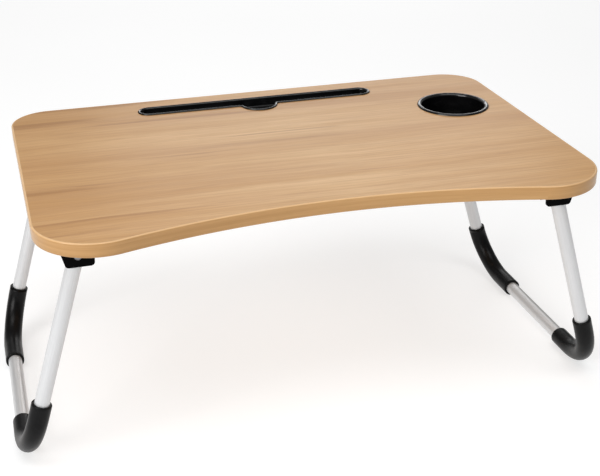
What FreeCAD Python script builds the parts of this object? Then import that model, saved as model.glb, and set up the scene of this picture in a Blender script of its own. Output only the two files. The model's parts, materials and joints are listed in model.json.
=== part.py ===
import FreeCAD, Part
import math
import os
import re

import Sketcher

# Folding lap table: a wood-effect board on two U-shaped tube legs.
# The legs hinge under the board and fold inwards until both lie flat side by side.
# Frame: origin on the floor under the middle of the board, +X to the user's right,
# -Y towards the user (the hollowed edge of the board), +Z up. Millimetres and degrees.

DIMENSIONS = (
    # board
    ("table_height", 280.0, "floor to the top surface"),
    ("board_width", 600.0, "left to right"),
    ("board_depth", 400.0, "front to rear"),
    ("board_thick", 15.0, "over both laminates"),
    ("laminate_thick", 0.6, "decorative sheet, top and bottom"),
    ("band_thick", 2.0, "edge band"),
    ("band_round", 1.6, "rounded long edges of the edge band"),
    ("rear_radius", 47.0, "rear corners of the board"),
    ("front_radius", 63.0, "front corners of the board"),
    ("front_hollow", 33.7, "how far the front edge curves in"),
    # cup holder
    ("cup_pos_x", 229.2, "centre of the cup holder"),
    ("cup_pos_y", 75.0, "centre of the cup holder"),
    ("cup_radius", 38.0, "inside of the cup at the mouth"),
    ("cup_wall", 2.0, "wall and floor of the cup"),
    ("cup_depth", 28.0, "top surface to the floor of the cup"),
    ("cup_rim_radius", 44.0, "outside of the cup rim"),
    ("rim_height", 2.0, "insert rims above the top surface"),
    ("rim_edge", 1.2, "height of the insert rims at their outer edge"),
    ("insert_gap", 0.15, "side gap round an insert in the board"),
    # tablet tray
    ("tray_half_length", 149.0, "half the rim length of the tray"),
    ("tray_front", 144.5, "front edge of the tray rim"),
    ("tray_rear", 173.0, "rear edge of the tray rim"),
    ("tray_rim", 4.0, "rim width of the tray"),
    ("tray_wall", 1.5, "wall and floor of the trough"),
    ("tray_depth", 10.0, "top surface to the trough floor"),
    ("cable_pos_x", 134.0, "centre of the cable hole in the tray"),
    ("cable_radius", 8.0, "cable hole through tray and board"),
    ("notch_centre", 146.5, "centre of the thumb notch arc"),
    ("notch_radius", 23.0, "rim radius of the thumb notch"),
    ("notch_round", 3.0, "shoulders of the thumb notch"),
    # hinge positions
    ("pin_half_span", 258.8, "hinge pin to the middle plane"),
    ("pin_height", 247.3, "hinge pin above the floor"),
    ("front_upright", 142.9, "front uprights in front of the middle"),
    ("rear_upright", 160.8, "rear uprights behind the middle"),
    # legs
    ("leg_tilt", 16.7, "outward lean of an open leg"),
    ("tube_offset", 0.0, "tube centreline outboard of the hinge pin"),
    ("tube_radius", 8.0, "outside of the leg tube"),
    ("tube_wall", 1.2, "wall of the leg tube"),
    ("bend_radius", 56.0, "centreline of the leg bends"),
    ("sleeve_radius", 11.0, "outside of the foot sleeves"),
    ("sleeve_gap", 0.05, "between tube and sleeve"),
    ("front_sleeve_up", 73.0, "front sleeve end above the bar centreline"),
    ("rear_sleeve_up", 56.6, "rear sleeve end above the bar centreline"),
    ("front_sleeve_along", 81.0, "front sleeve end from the upright along the bar"),
    ("rear_sleeve_along", 89.5, "rear sleeve end from the upright along the bar"),
    # brackets
    ("plate_thick", 3.0, "base plate of a bracket"),
    ("plate_inboard", 34.5, "base plate inboard of the pin"),
    ("plate_outboard", 27.5, "base plate outboard of the pin"),
    ("plate_half_depth", 16.0, "half the base plate, front to rear"),
    ("plate_round", 4.0, "corners of the base plate"),
    ("cheek_gap", 16.6, "between the cheeks"),
    ("cheek_thick", 2.8, "one cheek"),
    ("cheek_root_in", 22.5, "cheek inboard of the pin at the plate"),
    ("cheek_root_out", 19.3, "cheek outboard of the pin at the plate"),
    ("cheek_inboard", 15.7, "upright inboard side to the pin"),
    ("cheek_waist_up", 4.0, "where the inboard side starts to flare"),
    ("cheek_tip_out", 12.4, "cheek outboard of the pin at the bottom"),
    ("cheek_drop", 11.4, "bottom of the cheeks below the pin"),
    ("cheek_round", 4.0, "lower corners of the cheeks"),
    ("stop_distance", 8.7, "stop face from the pin, square to the leg"),
    ("stop_drop", 6.5, "lower end of the stop wall below the pin"),
    # knuckles
    ("knuckle_width", 16.2, "knuckle along the pin"),
    ("knuckle_radius", 8.5, "boss of the knuckle round the pin"),
    ("knuckle_drop", 9.0, "knuckle below the pin, along the leg"),
    ("spigot_length", 30.0, "spigot inside the tube"),
    ("spigot_gap", 0.05, "between spigot and tube"),
    # fasteners
    ("pin_radius", 2.5, "shank of the hinge pin"),
    ("pin_head_radius", 3.7, "formed head at the front of the pin"),
    ("pin_tail_radius", 3.6, "clenched end at the rear of the pin"),
    ("pin_head_height", 1.8, "front head"),
    ("pin_tail_height", 1.4, "rear end"),
    ("fit_gap", 0.05, "radial gap of pins and screws in their holes"),
    ("screw_radius", 1.75, "shank of a bracket screw"),
    ("screw_head_radius", 3.25, "head of a bracket screw"),
    ("screw_head_height", 2.2, "head of a bracket screw"),
    ("screw_length", 13.0, "bracket screw under its head"),
    ("screw_spread_in", 28.5, "screws inboard of the pin"),
    ("screw_spread_out", 23.0, "screws outboard of the pin"),
    ("screw_half_pitch", 10.0, "screws in front of and behind the pin centre"),
    ("small_screw_radius", 1.5, "shank of a knuckle screw"),
    ("small_head_radius", 2.75, "head of a knuckle screw"),
    ("small_head_height", 1.5, "head of a knuckle screw"),
    ("small_screw_drop", 22.0, "knuckle screw below the pin, along the leg"),
    ("recess_width", 0.9, "arms of a cross recess"),
    ("recess_depth", 1.1, "depth of a cross recess"),
)

DERIVED = (
    ("board_bottom", "table_height - board_thick"),
    ("core_top", "table_height - laminate_thick"),
    ("core_bottom", "table_height - board_thick + laminate_thick"),
    ("front_run", "board_width / 2 - front_radius"),
    ("front_arc_radius", "(front_run ^ 2 + (front_radius - front_hollow) ^ 2 - front_radius ^ 2)"
                         " / (2 * front_hollow)"),
    ("bar_height", "sleeve_radius"),
    ("leg_length", "(pin_height + tube_offset * sin(leg_tilt) - bar_height) / cos(leg_tilt)"),
    ("plate_bottom", "board_bottom - pin_height - plate_thick"),
    ("shoulder_pos_x", "sqrt((notch_radius + notch_round) ^ 2"
                       " - (notch_centre - tray_front + notch_round) ^ 2)"),
    ("tray_end_pos_x", "tray_half_length - (tray_rear - tray_front) / 2"),
    ("tray_middle", "(tray_rear + tray_front) / 2"),
    ("stop_top_x", "stop_distance / cos(leg_tilt) - plate_bottom * tan(leg_tilt)"),
    ("stop_low_x", "stop_distance / cos(leg_tilt) + stop_drop * tan(leg_tilt)"),
)

SIDES = (("left", -1), ("right", 1))
ENDS = (("front", -1), ("rear", 1))

doc = FreeCAD.newDocument("lap_table")
dims = doc.addObject("Spreadsheet::Sheet", "Dims")
pieces = []


def bound(text):
    """Expression with every sheet name written in full; all sheet names hold an underscore."""
    return re.sub(r"[a-z]+(?:_[a-z]+)+", lambda found: "Dims." + found.group(0), str(text))


def value(text):
    """Number that an expression over the sheet's names stands for."""
    return float(dims.evalExpression(bound(text)))


def fill_sheet():
    row = 1
    for name, number, note in DIMENSIONS:
        dims.set("A%d" % row, name)
        dims.set("B%d" % row, str(number))
        dims.set("C%d" % row, note)
        dims.setAlias("B%d" % row, name)
        row += 1
    for name, formula in DERIVED:
        dims.set("A%d" % row, name)
        dims.set("B%d" % row, "=" + formula)
        dims.setAlias("B%d" % row, name)
        row += 1
    doc.recompute()


def signed(side, text):
    """The expression, mirrored for the left side."""
    return "(%s)" % text if side > 0 else "-(%s)" % text


def new_body(label):
    body = doc.addObject("PartDesign::Body", label)
    body.Label = label
    pieces.append(body)
    return body


def place(body, x, y, z, turn=0.0):
    """Stand a body in the table's frame, turned by an angle about +Y."""
    body.Placement = FreeCAD.Placement(FreeCAD.Vector(0, 0, 0),
                                       FreeCAD.Rotation(FreeCAD.Vector(0, 1, 0), turn))
    body.setExpression("Placement.Base.x", bound(x))
    body.setExpression("Placement.Base.y", bound(y))
    body.setExpression("Placement.Base.z", bound(z))


def new_sketch(body, name, role, lift="0"):
    sketch = body.newObject("Sketcher::SketchObject", name)
    plane = next(item for item in body.Origin.OriginFeatures if item.Role == role)
    sketch.AttachmentSupport = (plane, [""])
    sketch.MapMode = "FlatFace"
    sketch.setExpression("AttachmentOffset.Base.z", bound(lift))
    return sketch


def dimension(sketch, constraint, text):
    index = sketch.addConstraint(constraint)
    sketch.setExpression("Constraints[%d]" % index, bound(text))


def locate(sketch, item, end, x, y):
    """Fix one point of an item at an expression pair measured from the sketch's origin."""
    dimension(sketch, Sketcher.Constraint("DistanceX", -1, 1, item, end, value(x)), x)
    dimension(sketch, Sketcher.Constraint("DistanceY", -1, 1, item, end, value(y)), y)


def add_circle(sketch, x, y, radius):
    centre = FreeCAD.Vector(value(x), value(y), 0)
    up = FreeCAD.Vector(0, 0, 1)
    item = sketch.addGeometry(Part.Circle(centre, up, value(radius)), False)
    locate(sketch, item, 3, x, y)
    dimension(sketch, Sketcher.Constraint("Radius", item, value(radius)), radius)


def add_polygon(sketch, corners):
    points = [FreeCAD.Vector(value(x), value(y), 0) for x, y in corners]
    first = sketch.GeometryCount
    count = len(points)
    for index in range(count):
        line = Part.LineSegment(points[index], points[(index + 1) % count])
        sketch.addGeometry(line, False)
    for index in range(count):
        following = first + (index + 1) % count
        sketch.addConstraint(Sketcher.Constraint("Coincident", first + index, 2, following, 1))
    for index, (x, y) in enumerate(corners):
        locate(sketch, first + index, 1, x, y)


def add_arc(sketch, x, y, radius, start, finish):
    """Arc round a centre, anticlockwise between two angles in radians."""
    centre = FreeCAD.Vector(value(x), value(y), 0)
    ring = Part.Circle(centre, FreeCAD.Vector(0, 0, 1), value(radius))
    item = sketch.addGeometry(Part.ArcOfCircle(ring, start, finish), False)
    return item


def arc_sizes(sketch, item, x, y, radius, fix_centre=True):
    if fix_centre:
        locate(sketch, item, 3, x, y)
    dimension(sketch, Sketcher.Constraint("Radius", item, value(radius)), radius)


def add_line(sketch, start, finish):
    a = FreeCAD.Vector(value(start[0]), value(start[1]), 0)
    b = FreeCAD.Vector(value(finish[0]), value(finish[1]), 0)
    return sketch.addGeometry(Part.LineSegment(a, b), False)


def join_smooth(sketch, joints):
    for item, end, other, other_end in joints:
        sketch.addConstraint(Sketcher.Constraint("Tangent", item, end, other, other_end))


def board_outline(sketch, inset="0"):
    """Board edge, drawn in by an inset: two rear corners, two wide front corners, hollow front."""
    rear = "rear_radius - (%s)" % inset
    front = "front_radius - (%s)" % inset
    hollow = "front_arc_radius + (%s)" % inset
    rear_x = "board_width / 2 - rear_radius"
    rear_y = "board_depth / 2 - rear_radius"
    front_x = "front_run"
    front_y = "front_radius - board_depth / 2"
    hollow_y = "front_hollow - board_depth / 2 - front_arc_radius"
    side_x = "board_width / 2 - (%s)" % inset
    back_y = "board_depth / 2 - (%s)" % inset
    lean = math.atan2(value(front_y) - value(hollow_y), value(front_x))
    back = add_line(sketch, ("-(%s)" % rear_x, back_y), (rear_x, back_y))
    rear_right = add_arc(sketch, rear_x, rear_y, rear, 0, math.pi / 2)
    right = add_line(sketch, (side_x, rear_y), (side_x, front_y))
    front_right = add_arc(sketch, front_x, front_y, front, lean - math.pi, 0)
    middle = add_arc(sketch, "0", hollow_y, hollow, lean, math.pi - lean)
    front_left = add_arc(sketch, "-(%s)" % front_x, front_y, front, math.pi, 2 * math.pi - lean)
    left = add_line(sketch, ("-(%s)" % side_x, front_y), ("-(%s)" % side_x, rear_y))
    rear_left = add_arc(sketch, "-(%s)" % rear_x, rear_y, rear, math.pi / 2, math.pi)
    join_smooth(sketch, (
        (back, 2, rear_right, 2),
        (rear_right, 1, right, 1),
        (right, 2, front_right, 2),
        (front_right, 1, middle, 1),
        (middle, 2, front_left, 2),
        (front_left, 1, left, 1),
        (left, 2, rear_left, 2),
        (rear_left, 1, back, 1),
    ))
    arc_sizes(sketch, rear_right, rear_x, rear_y, rear)
    arc_sizes(sketch, rear_left, "-(%s)" % rear_x, rear_y, rear)
    arc_sizes(sketch, front_right, front_x, front_y, front)
    arc_sizes(sketch, front_left, "-(%s)" % front_x, front_y, front)
    arc_sizes(sketch, middle, "0", hollow_y, hollow, fix_centre=False)


def tray_outline(sketch, inset="0"):
    """Long round-ended slot with a thumb notch in its front side, drawn in by an inset."""
    end_radius = "(tray_rear - tray_front) / 2 - (%s)" % inset
    notch = "notch_radius - (%s)" % inset
    shoulder = "notch_round + (%s)" % inset
    front_y = "tray_front + (%s)" % inset
    rear_y = "tray_rear - (%s)" % inset
    shoulder_y = "tray_front - notch_round"
    end_x = "tray_end_pos_x"
    bend = math.atan2(value("notch_centre") - value(shoulder_y), -value("shoulder_pos_x"))
    rear = add_line(sketch, ("-" + end_x, rear_y), (end_x, rear_y))
    right = add_arc(sketch, end_x, "tray_middle", end_radius, -math.pi / 2, math.pi / 2)
    front_right = add_line(sketch, (end_x, front_y), ("shoulder_pos_x", front_y))
    round_right = add_arc(sketch, "shoulder_pos_x", shoulder_y, shoulder, math.pi / 2, bend)
    thumb = add_arc(sketch, "0", "notch_centre", notch, -bend, bend - math.pi)
    round_left = add_arc(sketch, "-shoulder_pos_x", shoulder_y, shoulder,
                         math.pi - bend, math.pi / 2)
    front_left = add_line(sketch, ("-shoulder_pos_x", front_y), ("-" + end_x, front_y))
    left = add_arc(sketch, "-" + end_x, "tray_middle", end_radius, math.pi / 2, math.pi * 1.5)
    join_smooth(sketch, (
        (rear, 2, right, 2),
        (right, 1, front_right, 1),
        (front_right, 2, round_right, 1),
        (round_right, 2, thumb, 2),
        (thumb, 1, round_left, 1),
        (round_left, 2, front_left, 1),
        (front_left, 2, left, 2),
        (left, 1, rear, 1),
    ))
    arc_sizes(sketch, right, end_x, "tray_middle", end_radius)
    arc_sizes(sketch, left, "-" + end_x, "tray_middle", end_radius)
    arc_sizes(sketch, round_right, "shoulder_pos_x", shoulder_y, shoulder)
    arc_sizes(sketch, round_left, "-shoulder_pos_x", shoulder_y, shoulder)
    arc_sizes(sketch, thumb, "0", "notch_centre", notch, fix_centre=False)


def pad(body, name, sketch, length, symmetric=False, downwards=False):
    feature = body.newObject("PartDesign::Pad", name)
    feature.Profile = sketch
    feature.setExpression("Length", bound(length))
    if symmetric:
        feature.SideType = "Symmetric"
    feature.Reversed = downwards
    sketch.Visibility = False
    doc.recompute()
    return feature


def pocket(body, name, sketch, length, symmetric=False, upwards=False):
    """Cut below the sketch, or above it, and make sure that material was removed."""
    before = body.Shape.Volume
    feature = body.newObject("PartDesign::Pocket", name)
    feature.Profile = sketch
    feature.setExpression("Length", bound(length))
    if symmetric:
        feature.SideType = "Symmetric"
    feature.Reversed = upwards
    sketch.Visibility = False
    doc.recompute()
    if not body.Shape.Volume < before - 0.01:
        raise RuntimeError("%s cuts nothing from %s" % (name, body.Label))
    return feature


def fillet(body, name, base, edges, radius):
    feature = body.newObject("PartDesign::Fillet", name)
    feature.Base = (base, edges)
    feature.setExpression("Radius", bound(radius))
    doc.recompute()
    return feature


def edges_at(feature, test):
    """Names of a feature's edges whose every end and middle passes a test."""
    names = []
    for index, edge in enumerate(feature.Shape.Edges, 1):
        points = [vertex.Point for vertex in edge.Vertexes]
        points.append(edge.valueAt((edge.FirstParameter + edge.LastParameter) / 2))
        if all(test(point) for point in points):
            names.append("Edge%d" % index)
    return names


def outer_edges(feature, level):
    """Names of the edges round the outside of the flat face at one height."""
    rim = []
    for face in feature.Shape.Faces:
        if all(abs(vertex.Z - level) < 0.001 for vertex in face.Vertexes):
            rim.extend(face.OuterWire.Edges)
    return ["Edge%d" % index for index, edge in enumerate(feature.Shape.Edges, 1)
            if any(edge.isSame(other) for other in rim)]


def screw_spots():
    """Screw positions of one bracket, relative to its hinge pin, on the right side."""
    return [(x, y) for x in ("-screw_spread_in", "screw_spread_out")
            for y in ("-screw_half_pitch", "screw_half_pitch")]


def upright(end):
    return "-front_upright" if end < 0 else "rear_upright"


def screw_holes(sketch):
    for _, side in SIDES:
        for _, end in ENDS:
            for x, y in screw_spots():
                across = signed(side, "pin_half_span + (%s)" % x)
                along = "%s + (%s)" % (upright(end), y)
                add_circle(sketch, across, along, "screw_radius + fit_gap")


def build_core():
    body = new_body("board_core")
    outline = new_sketch(body, "core_outline", "XY_Plane", "core_bottom")
    board_outline(outline, "band_thick")
    pad(body, "core_pad", outline, "core_top - core_bottom")
    cup = new_sketch(body, "core_cup_circle", "XY_Plane", "core_top")
    add_circle(cup, "cup_pos_x", "cup_pos_y", "cup_radius + cup_wall + insert_gap")
    pocket(body, "core_cup_hole", cup, "board_thick")
    groove = new_sketch(body, "core_groove_outline", "XY_Plane", "core_top")
    tray_outline(groove, "tray_rim - tray_wall - insert_gap")
    pocket(body, "core_groove", groove, "tray_depth + tray_wall - laminate_thick")
    cable = new_sketch(body, "core_cable_circle", "XY_Plane", "core_top")
    add_circle(cable, "cable_pos_x", "tray_middle", "cable_radius")
    pocket(body, "core_cable_hole", cable, "board_thick")
    pilots = new_sketch(body, "core_pilot_circles", "XY_Plane", "core_bottom")
    screw_holes(pilots)
    pocket(body, "core_pilots", pilots, "screw_length - plate_thick - laminate_thick + 0.5",
           upwards=True)


def build_top_laminate():
    body = new_body("board_top_laminate")
    outline = new_sketch(body, "top_outline", "XY_Plane", "core_top")
    board_outline(outline, "band_thick")
    pad(body, "top_pad", outline, "laminate_thick")
    cup = new_sketch(body, "top_cup_circle", "XY_Plane", "table_height")
    add_circle(cup, "cup_pos_x", "cup_pos_y", "cup_rim_radius + insert_gap")
    pocket(body, "top_cup_hole", cup, "laminate_thick")
    slot = new_sketch(body, "top_slot_outline", "XY_Plane", "table_height")
    tray_outline(slot, "-insert_gap")
    pocket(body, "top_slot", slot, "laminate_thick")


def build_bottom_laminate():
    body = new_body("board_bottom_laminate")
    outline = new_sketch(body, "bottom_outline", "XY_Plane", "board_bottom")
    board_outline(outline, "band_thick")
    pad(body, "bottom_pad", outline, "laminate_thick")
    holes = new_sketch(body, "bottom_holes", "XY_Plane", "core_bottom")
    add_circle(holes, "cup_pos_x", "cup_pos_y", "cup_radius + cup_wall + insert_gap")
    add_circle(holes, "cable_pos_x", "tray_middle", "cable_radius")
    screw_holes(holes)
    pocket(body, "bottom_cut", holes, "laminate_thick")


def build_edge_band():
    body = new_body("board_edge_band")
    outline = new_sketch(body, "band_outline", "XY_Plane", "board_bottom")
    board_outline(outline)
    board_outline(outline, "band_thick")
    band = pad(body, "band_pad", outline, "board_thick")
    rims = outer_edges(band, value("table_height")) + outer_edges(band, value("board_bottom"))
    fillet(body, "band_rounding", band, rims, "band_round")


def build_cup_holder():
    body = new_body("cup_holder")
    profile = new_sketch(body, "cup_profile", "XZ_Plane")
    add_polygon(profile, (
        ("0", "-cup_depth - cup_wall"),
        ("cup_radius + cup_wall", "-cup_depth - cup_wall"),
        ("cup_radius + cup_wall", "-laminate_thick"),
        ("cup_rim_radius", "-laminate_thick"),
        ("cup_rim_radius", "rim_edge"),
        ("cup_radius + 3.4", "rim_height"),
        ("cup_radius + 1.4", "rim_height"),
        ("cup_radius", "rim_height - 1.6"),
        ("cup_radius", "-cup_depth"),
        ("0", "-cup_depth"),
    ))
    cup = body.newObject("PartDesign::Revolution", "cup_turn")
    cup.Profile = profile
    cup.ReferenceAxis = (profile, ["V_Axis"])
    cup.Angle = 360
    profile.Visibility = False
    doc.recompute()
    floor = value("-cup_depth")
    inside = edges_at(cup, lambda point: abs(point.z - floor) < 0.001
                      and math.hypot(point.x, point.y) > 1)
    inner = fillet(body, "cup_floor_round", cup, inside, "3")
    crest = edges_at(inner, lambda point: point.z > value("rim_edge") + 0.01)
    fillet(body, "cup_crest_round", inner, crest, "0.7")
    place(body, "cup_pos_x", "cup_pos_y", "table_height")


def build_tablet_tray():
    body = new_body("tablet_tray")
    rim = new_sketch(body, "tray_rim_outline", "XY_Plane", "-laminate_thick")
    tray_outline(rim)
    pad(body, "tray_rim_pad", rim, "laminate_thick + rim_height - 0.4")
    trough = new_sketch(body, "tray_trough_outline", "XY_Plane", "-laminate_thick")
    tray_outline(trough, "tray_rim - tray_wall")
    pad(body, "tray_trough_pad", trough, "tray_depth + tray_wall - laminate_thick",
        downwards=True)
    hollow = new_sketch(body, "tray_hollow_outline", "XY_Plane", "rim_height")
    tray_outline(hollow, "tray_rim")
    pocket(body, "tray_hollow", hollow, "rim_height + tray_depth")
    cable = new_sketch(body, "tray_cable_circle", "XY_Plane", "-tray_depth")
    add_circle(cable, "cable_pos_x", "tray_middle", "cable_radius")
    cut = pocket(body, "tray_cable_hole", cable, "tray_wall")
    crest = value("rim_height - 0.4")
    top_edges = edges_at(cut, lambda point: abs(point.z - crest) < 0.001)
    fillet(body, "tray_crest_round", cut, top_edges, "1.2")
    place(body, "0", "0", "table_height")


def build_bracket(label, side, end):
    body = new_body("hinge_bracket_" + label)
    base = new_sketch(body, label + "_plate", "XY_Plane", "plate_bottom")
    add_polygon(base, (
        (signed(side, "-plate_inboard"), "-plate_half_depth"),
        (signed(side, "plate_outboard"), "-plate_half_depth"),
        (signed(side, "plate_outboard"), "plate_half_depth"),
        (signed(side, "-plate_inboard"), "plate_half_depth"),
    ))
    plate = pad(body, label + "_plate_pad", base, "plate_thick")
    inner = value("plate_inboard") - 0.1
    corners = edges_at(plate, lambda point: abs(point.x) > inner
                       and abs(point.y) > value("plate_half_depth") - 0.1)
    fillet(body, label + "_plate_corners", plate, corners, "plate_round")
    cheeks = new_sketch(body, label + "_cheek_outline", "XZ_Plane")
    add_polygon(cheeks, (
        (signed(side, "-cheek_root_in"), "plate_bottom"),
        (signed(side, "-cheek_inboard - 0.5"), "cheek_waist_up"),
        (signed(side, "-cheek_inboard"), "-cheek_drop"),
        (signed(side, "cheek_tip_out"), "-cheek_drop"),
        (signed(side, "cheek_root_out"), "plate_bottom"),
    ))
    block = pad(body, label + "_cheeks", cheeks, "cheek_gap + 2 * cheek_thick",
                symmetric=True)
    floor = -value("cheek_drop")
    reach = (value("cheek_inboard"), value("cheek_tip_out"))
    lower = edges_at(block, lambda point: abs(point.z - floor) < 0.001
                     and min(abs(abs(point.x) - x) for x in reach) < 0.001)
    fillet(body, label + "_cheek_corners", block, lower, "cheek_round")
    room = new_sketch(body, label + "_room_outline", "XZ_Plane")
    add_polygon(room, (
        (signed(side, "-plate_inboard"), "plate_bottom"),
        (signed(side, "stop_top_x"), "plate_bottom"),
        (signed(side, "stop_low_x"), "-stop_drop"),
        (signed(side, "plate_outboard"), "-stop_drop"),
        (signed(side, "plate_outboard"), "-plate_inboard"),
        (signed(side, "-plate_inboard"), "-plate_inboard"),
    ))
    pocket(body, label + "_room", room, "cheek_gap", symmetric=True)
    bore = new_sketch(body, label + "_bore_circle", "XZ_Plane")
    add_circle(bore, "0", "0", "pin_radius + fit_gap")
    pocket(body, label + "_bore", bore, "cheek_gap + 4 * cheek_thick", symmetric=True)
    holes = new_sketch(body, label + "_screw_circles", "XY_Plane", "plate_bottom + plate_thick")
    for x, y in screw_spots():
        add_circle(holes, signed(side, x), y, "screw_radius + fit_gap")
    pocket(body, label + "_screw_holes", holes, "plate_thick")
    place(body, signed(side, "pin_half_span"), upright(end), "pin_height")


def build_knuckle(label, side, end):
    body = new_body("leg_knuckle_" + label)
    boss = new_sketch(body, label + "_boss_circle", "XZ_Plane")
    add_circle(boss, "0", "0", "knuckle_radius")
    pad(body, label + "_boss", boss, "knuckle_width", symmetric=True)
    block = new_sketch(body, label + "_block_outline", "XZ_Plane")
    add_polygon(block, (
        (signed(side, "-knuckle_radius + 0.1"), "-1"),
        (signed(side, "tube_offset - tube_radius - 0.6"), "-knuckle_drop"),
        (signed(side, "stop_distance"), "-knuckle_drop"),
        (signed(side, "stop_distance"), "-0.5"),
        (signed(side, "tube_offset"), "knuckle_radius * 0.8"),
    ))
    pad(body, label + "_block", block, "knuckle_width", symmetric=True)
    spigot = new_sketch(body, label + "_spigot_circle", "XY_Plane", "-knuckle_drop")
    add_circle(spigot, signed(side, "tube_offset"), "0",
               "tube_radius - tube_wall - spigot_gap")
    shank = pad(body, label + "_spigot", spigot, "spigot_length", downwards=True)
    foot = value("-knuckle_drop - spigot_length")
    tip = edges_at(shank, lambda point: abs(point.z - foot) < 0.001)
    fillet(body, label + "_spigot_tip", shank, tip, "1.5")
    bore = new_sketch(body, label + "_pin_circle", "XZ_Plane")
    add_circle(bore, "0", "0", "pin_radius + fit_gap")
    pocket(body, label + "_pin_bore", bore, "knuckle_width * 2", symmetric=True)
    pilot = new_sketch(body, label + "_pilot_circle", "XZ_Plane", "-tube_radius")
    add_circle(pilot, signed(side, "tube_offset"), "-small_screw_drop",
               "small_screw_radius + fit_gap")
    pocket(body, label + "_pilot", pilot, "tube_radius + 4", upwards=True)
    place(body, signed(side, "pin_half_span"), upright(end), "pin_height",
          -side * value("leg_tilt"))


def build_pin(label, side, end):
    body = new_body("hinge_pin_" + label)
    profile = new_sketch(body, label + "_pin_profile", "XY_Plane")
    face = "cheek_gap / 2 + cheek_thick"
    add_polygon(profile, (
        ("0", "-(%s) - pin_head_height" % face),
        ("pin_head_radius - 1.5", "-(%s) - pin_head_height" % face),
        ("pin_head_radius", "-(%s) - 0.5" % face),
        ("pin_head_radius", "-(%s)" % face),
        ("pin_radius", "-(%s)" % face),
        ("pin_radius", face),
        ("pin_tail_radius", face),
        ("pin_tail_radius", "%s + pin_tail_height - 0.6" % face),
        ("pin_tail_radius - 0.8", "%s + pin_tail_height" % face),
        ("0", "%s + pin_tail_height" % face),
    ))
    turn = body.newObject("PartDesign::Revolution", label + "_pin_turn")
    turn.Profile = profile
    turn.ReferenceAxis = (profile, ["V_Axis"])
    turn.Angle = 360
    profile.Visibility = False
    doc.recompute()
    place(body, signed(side, "pin_half_span"), upright(end), "pin_height")


def cross_corners(x, y):
    """Outline of a cross recess round a centre given as two expressions."""
    short = "recess_width / 2"
    long = "recess_width * 1.7"
    steps = ((short, long), (short, short), (long, short),
             (long, "-" + short), (short, "-" + short), (short, "-" + long),
             ("-" + short, "-" + long), ("-" + short, "-" + short), ("-" + long, "-" + short),
             ("-" + long, short), ("-" + short, short), ("-" + short, long))
    return [("%s + (%s)" % (x, dx), "%s + (%s)" % (y, dy)) for dx, dy in steps]


def build_bracket_screws(label, side, end):
    """Four screws, each its own solid, heads up against the underside of the plate."""
    body = new_body("bracket_screws_" + label)
    spots = [(signed(side, x), y) for x, y in screw_spots()]
    shanks = new_sketch(body, label + "_shank_circles", "XY_Plane", "plate_bottom")
    for x, y in spots:
        add_circle(shanks, x, y, "screw_radius")
    shank = pad(body, label + "_shanks", shanks, "screw_length")
    tip = value("plate_bottom + screw_length")
    ends = edges_at(shank, lambda point: abs(point.z - tip) < 0.001)
    cone = body.newObject("PartDesign::Chamfer", label + "_points")
    cone.Base = (shank, ends)
    cone.Size = 1.2
    doc.recompute()
    heads = new_sketch(body, label + "_head_circles", "XY_Plane", "plate_bottom")
    for x, y in spots:
        add_circle(heads, x, y, "screw_head_radius")
    head = pad(body, label + "_heads", heads, "screw_head_height", downwards=True)
    low = value("plate_bottom - screw_head_height")
    rims = edges_at(head, lambda point: abs(point.z - low) < 0.001)
    fillet(body, label + "_head_round", head, rims, "1")
    recess = new_sketch(body, label + "_recess", "XY_Plane",
                        "plate_bottom - screw_head_height")
    for x, y in spots:
        add_polygon(recess, cross_corners(x, y))
    pocket(body, label + "_recess_cut", recess, "recess_depth", upwards=True)
    place(body, signed(side, "pin_half_span"), upright(end), "pin_height")


def build_knuckle_screw(label, side, end):
    """Screw through the tube wall into the spigot, from the rear side of the upright."""
    body = new_body("knuckle_screw_" + label)
    x = signed(side, "tube_offset")
    y = "-small_screw_drop"
    shank = new_sketch(body, label + "_small_shank", "XZ_Plane", "-tube_radius")
    add_circle(shank, x, y, "small_screw_radius")
    pad(body, label + "_small_shank_pad", shank, "tube_radius + 3")
    head = new_sketch(body, label + "_small_head", "XZ_Plane", "-tube_radius")
    add_circle(head, x, y, "small_head_radius")
    knob = pad(body, label + "_small_head_pad", head, "small_head_height", downwards=True)
    face = value("tube_radius + small_head_height")
    rim = edges_at(knob, lambda point: abs(point.y - face) < 0.001)
    fillet(body, label + "_small_head_round", knob, rim, "0.8")
    recess = new_sketch(body, label + "_small_recess", "XZ_Plane",
                        "-tube_radius - small_head_height")
    add_polygon(recess, cross_corners(x, y))
    pocket(body, label + "_small_recess_cut", recess, "recess_depth * 0.8", upwards=True)
    place(body, signed(side, "pin_half_span"), upright(end), "pin_height",
          -side * value("leg_tilt"))


def sweep(body, name, section, path):
    feature = body.newObject("PartDesign::AdditivePipe", name)
    feature.Profile = section
    feature.Spine = (path, [""])
    section.Visibility = False
    path.Visibility = False
    doc.recompute()
    return feature


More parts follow.
